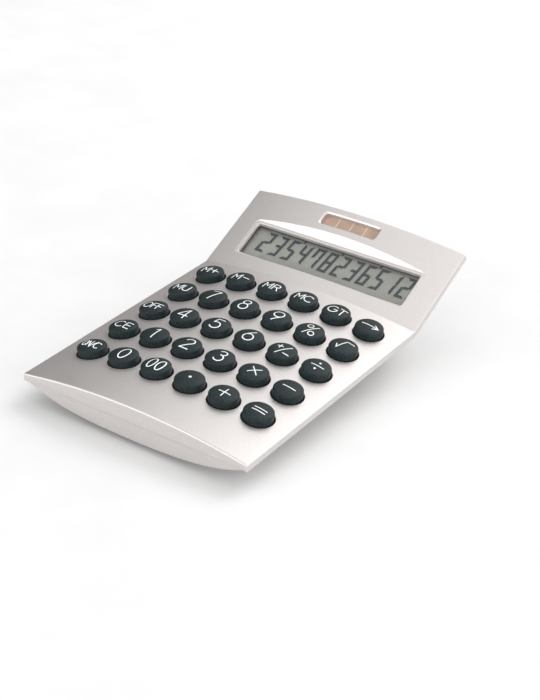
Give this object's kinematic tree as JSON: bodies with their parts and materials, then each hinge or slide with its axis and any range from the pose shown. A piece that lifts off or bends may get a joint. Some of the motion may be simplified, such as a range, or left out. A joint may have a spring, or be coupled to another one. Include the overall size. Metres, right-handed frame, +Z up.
{
  "type": "desk calculator",
  "caption": "Crowned desk calculator with a tilted display section, round domed keys, a solar window above a recessed LCD and a hinged battery door.",
  "frame": {"origin": "middle of the body's plan outline, at the level the feet stand on", "axes": "+Z up, +X to the user's right, +Y away from the user towards the display"},
  "size_m": [0.1, 0.1532, 0.0441],
  "materials": {
    "case": "satin pearl silver paint on moulded plastic",
    "key": "matte dark slate with a soft dome",
    "lens": "clear moulded window",
    "lcd": "grey-green liquid crystal panel",
    "ribbon": "amber film",
    "plastic": "moulded dark plastic",
    "board": "green solder mask",
    "resin": "black epoxy",
    "membrane": "silicone rubber",
    "solar": "amorphous cells behind glass",
    "wire_positive": "red insulation",
    "wire_negative": "black insulation",
    "rubber": "matte rubber",
    "steel": "zinc plated steel",
    "contact": "nickel plated spring strip"
  },
  "bodies": {
    "case": {"top_cover": "case", "bottom_cover": "case", "display_lens": "lens", "lcd_panel": "lcd", "lcd_ribbon": "ribbon", "lcd_retainer": "plastic", "main_board": "board", "controller_chip": "resin", "keypad_membrane": "membrane", "solar_cell": "solar", "solar_wire_positive": "wire_positive", "solar_wire_negative": "wire_negative", "battery_cell": "steel", "battery_contact_positive": "contact", "battery_contact_negative": "contact", "foot_front_left": "rubber", "case_screw_front_left": "steel", "board_screw_front_left": "steel", "foot_front_right": "rubber", "case_screw_front_right": "steel", "board_screw_front_right": "steel", "foot_rear_left": "rubber", "case_screw_rear_left": "steel", "board_screw_rear_left": "steel", "foot_rear_right": "rubber", "case_screw_rear_right": "steel", "board_screw_rear_right": "steel", "retainer_screw_left": "steel", "retainer_screw_right": "steel"},
    "battery_door": {"battery_door": "case"},
    "key_memory_plus": {"key_memory_plus": "key"},
    "key_memory_minus": {"key_memory_minus": "key"},
    "key_memory_recall": {"key_memory_recall": "key"},
    "key_memory_clear": {"key_memory_clear": "key"},
    "key_grand_total": {"key_grand_total": "key"},
    "key_backspace": {"key_backspace": "key"},
    "key_markup": {"key_markup": "key"},
    "key_7": {"key_7": "key"},
    "key_8": {"key_8": "key"},
    "key_9": {"key_9": "key"},
    "key_percent": {"key_percent": "key"},
    "key_root": {"key_root": "key"},
    "key_off": {"key_off": "key"},
    "key_4": {"key_4": "key"},
    "key_5": {"key_5": "key"},
    "key_6": {"key_6": "key"},
    "key_sign": {"key_sign": "key"},
    "key_divide": {"key_divide": "key"},
    "key_clear_entry": {"key_clear_entry": "key"},
    "key_1": {"key_1": "key"},
    "key_2": {"key_2": "key"},
    "key_3": {"key_3": "key"},
    "key_multiply": {"key_multiply": "key"},
    "key_minus": {"key_minus": "key"},
    "key_on_clear": {"key_on_clear": "key"},
    "key_0": {"key_0": "key"},
    "key_00": {"key_00": "key"},
    "key_point": {"key_point": "key"},
    "key_plus": {"key_plus": "key"},
    "key_equals": {"key_equals": "key"}
  },
  "joints": [
    {"name": "battery_door_hinge", "type": "hinge", "parent": "case", "child": "battery_door", "pos_m": [0, 0.01193, 0.0028], "axis": [1, 0, 0], "range_deg": [0, 90]},
    {"name": "key_memory_plus_press", "type": "slide", "parent": "case", "child": "key_memory_plus", "axis": [0.1309, 0.0692, -0.989], "range_m": [0, 0.0014], "stiffness_N_per_m": 300, "springref_m": -0.001},
    {"name": "key_memory_minus_press", "type": "slide", "parent": "case", "child": "key_memory_minus", "axis": [0.0787, 0.0695, -0.9945], "range_m": [0, 0.0014], "stiffness_N_per_m": 300, "springref_m": -0.001},
    {"name": "key_memory_recall_press", "type": "slide", "parent": "case", "child": "key_memory_recall", "axis": [0.0262, 0.0697, -0.9972], "range_m": [0, 0.0014], "stiffness_N_per_m": 300, "springref_m": -0.001},
    {"name": "key_memory_clear_press", "type": "slide", "parent": "case", "child": "key_memory_clear", "axis": [-0.0262, 0.0697, -0.9972], "range_m": [0, 0.0014], "stiffness_N_per_m": 300, "springref_m": -0.001},
    {"name": "key_grand_total_press", "type": "slide", "parent": "case", "child": "key_grand_total", "axis": [-0.0787, 0.0695, -0.9945], "range_m": [0, 0.0014], "stiffness_N_per_m": 300, "springref_m": -0.001},
    {"name": "key_backspace_press", "type": "slide", "parent": "case", "child": "key_backspace", "axis": [-0.1309, 0.0692, -0.989], "range_m": [0, 0.0014], "stiffness_N_per_m": 300, "springref_m": -0.001},
    {"name": "key_markup_press", "type": "slide", "parent": "case", "child": "key_markup", "axis": [0.1309, 0.0692, -0.989], "range_m": [0, 0.0014], "stiffness_N_per_m": 300, "springref_m": -0.001},
    {"name": "key_7_press", "type": "slide", "parent": "case", "child": "key_7", "axis": [0.0787, 0.0695, -0.9945], "range_m": [0, 0.0014], "stiffness_N_per_m": 300, "springref_m": -0.001},
    {"name": "key_8_press", "type": "slide", "parent": "case", "child": "key_8", "axis": [0.0262, 0.0697, -0.9972], "range_m": [0, 0.0014], "stiffness_N_per_m": 300, "springref_m": -0.001},
    {"name": "key_9_press", "type": "slide", "parent": "case", "child": "key_9", "axis": [-0.0262, 0.0697, -0.9972], "range_m": [0, 0.0014], "stiffness_N_per_m": 300, "springref_m": -0.001},
    {"name": "key_percent_press", "type": "slide", "parent": "case", "child": "key_percent", "axis": [-0.0787, 0.0695, -0.9945], "range_m": [0, 0.0014], "stiffness_N_per_m": 300, "springref_m": -0.001},
    {"name": "key_root_press", "type": "slide", "parent": "case", "child": "key_root", "axis": [-0.1309, 0.0692, -0.989], "range_m": [0, 0.0014], "stiffness_N_per_m": 300, "springref_m": -0.001},
    {"name": "key_off_press", "type": "slide", "parent": "case", "child": "key_off", "axis": [0.1309, 0.0692, -0.989], "range_m": [0, 0.0014], "stiffness_N_per_m": 300, "springref_m": -0.001},
    {"name": "key_4_press", "type": "slide", "parent": "case", "child": "key_4", "axis": [0.0787, 0.0695, -0.9945], "range_m": [0, 0.0014], "stiffness_N_per_m": 300, "springref_m": -0.001},
    {"name": "key_5_press", "type": "slide", "parent": "case", "child": "key_5", "axis": [0.0262, 0.0697, -0.9972], "range_m": [0, 0.0014], "stiffness_N_per_m": 300, "springref_m": -0.001},
    {"name": "key_6_press", "type": "slide", "parent": "case", "child": "key_6", "axis": [-0.0262, 0.0697, -0.9972], "range_m": [0, 0.0014], "stiffness_N_per_m": 300, "springref_m": -0.001},
    {"name": "key_sign_press", "type": "slide", "parent": "case", "child": "key_sign", "axis": [-0.0787, 0.0695, -0.9945], "range_m": [0, 0.0014], "stiffness_N_per_m": 300, "springref_m": -0.001},
    {"name": "key_divide_press", "type": "slide", "parent": "case", "child": "key_divide", "axis": [-0.1309, 0.0692, -0.989], "range_m": [0, 0.0014], "stiffness_N_per_m": 300, "springref_m": -0.001},
    {"name": "key_clear_entry_press", "type": "slide", "parent": "case", "child": "key_clear_entry", "axis": [0.1309, 0.0692, -0.989], "range_m": [0, 0.0014], "stiffness_N_per_m": 300, "springref_m": -0.001},
    {"name": "key_1_press", "type": "slide", "parent": "case", "child": "key_1", "axis": [0.0787, 0.0695, -0.9945], "range_m": [0, 0.0014], "stiffness_N_per_m": 300, "springref_m": -0.001},
    {"name": "key_2_press", "type": "slide", "parent": "case", "child": "key_2", "axis": [0.0262, 0.0697, -0.9972], "range_m": [0, 0.0014], "stiffness_N_per_m": 300, "springref_m": -0.001},
    {"name": "key_3_press", "type": "slide", "parent": "case", "child": "key_3", "axis": [-0.0262, 0.0697, -0.9972], "range_m": [0, 0.0014], "stiffness_N_per_m": 300, "springref_m": -0.001},
    {"name": "key_multiply_press", "type": "slide", "parent": "case", "child": "key_multiply", "axis": [-0.0787, 0.0695, -0.9945], "range_m": [0, 0.0014], "stiffness_N_per_m": 300, "springref_m": -0.001},
    {"name": "key_minus_press", "type": "slide", "parent": "case", "child": "key_minus", "axis": [-0.1309, 0.0692, -0.989], "range_m": [0, 0.0014], "stiffness_N_per_m": 300, "springref_m": -0.001},
    {"name": "key_on_clear_press", "type": "slide", "parent": "case", "child": "key_on_clear", "axis": [0.1309, 0.0692, -0.989], "range_m": [0, 0.0014], "stiffness_N_per_m": 300, "springref_m": -0.001},
    {"name": "key_0_press", "type": "slide", "parent": "case", "child": "key_0", "axis": [0.0787, 0.0695, -0.9945], "range_m": [0, 0.0014], "stiffness_N_per_m": 300, "springref_m": -0.001},
    {"name": "key_00_press", "type": "slide", "parent": "case", "child": "key_00", "axis": [0.0262, 0.0697, -0.9972], "range_m": [0, 0.0014], "stiffness_N_per_m": 300, "springref_m": -0.001},
    {"name": "key_point_press", "type": "slide", "parent": "case", "child": "key_point", "axis": [-0.0262, 0.0697, -0.9972], "range_m": [0, 0.0014], "stiffness_N_per_m": 300, "springref_m": -0.001},
    {"name": "key_plus_press", "type": "slide", "parent": "case", "child": "key_plus", "axis": [-0.0787, 0.0695, -0.9945], "range_m": [0, 0.0014], "stiffness_N_per_m": 300, "springref_m": -0.001},
    {"name": "key_equals_press", "type": "slide", "parent": "case", "child": "key_equals", "axis": [-0.1309, 0.0692, -0.989], "range_m": [0, 0.0014], "stiffness_N_per_m": 300, "springref_m": -0.001}
  ]
}
